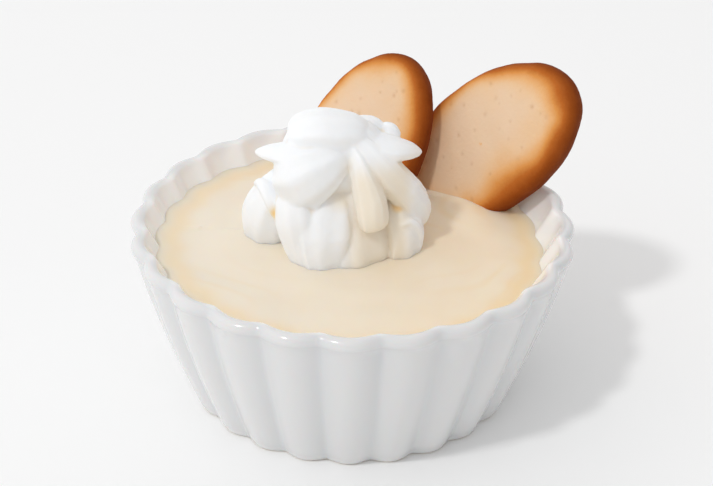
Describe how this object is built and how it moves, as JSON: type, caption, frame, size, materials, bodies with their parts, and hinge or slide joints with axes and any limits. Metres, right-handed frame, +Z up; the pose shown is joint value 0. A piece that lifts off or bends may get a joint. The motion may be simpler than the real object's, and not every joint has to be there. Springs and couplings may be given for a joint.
{
  "type": "bowl of vanilla custard with whipped cream and biscuits",
  "caption": "Fluted white ramekin filled with vanilla custard, topped with a piped rosette of whipped cream and oval butter biscuits standing behind it.",
  "frame": {"origin": "middle of the foot of the bowl, on the table", "axes": "+Z up out of the bowl; -Y towards the viewer, the front with the rosette; +X to the viewer's right, the side that the right biscuit leans to"},
  "size_m": [0.1065, 0.105, 0.0719],
  "materials": {
    "porcelain": "glossy white glaze",
    "custard": "smooth, soft sheen",
    "cream": "soft, slightly moist",
    "biscuit": "dry, fine crumb, browned at the edge"
  },
  "bodies": {
    "root": {"bowl": "porcelain", "custard": "custard", "whipped_cream": "cream", "biscuit_left": "biscuit", "biscuit_right": "biscuit"}
  },
  "joints": []
}
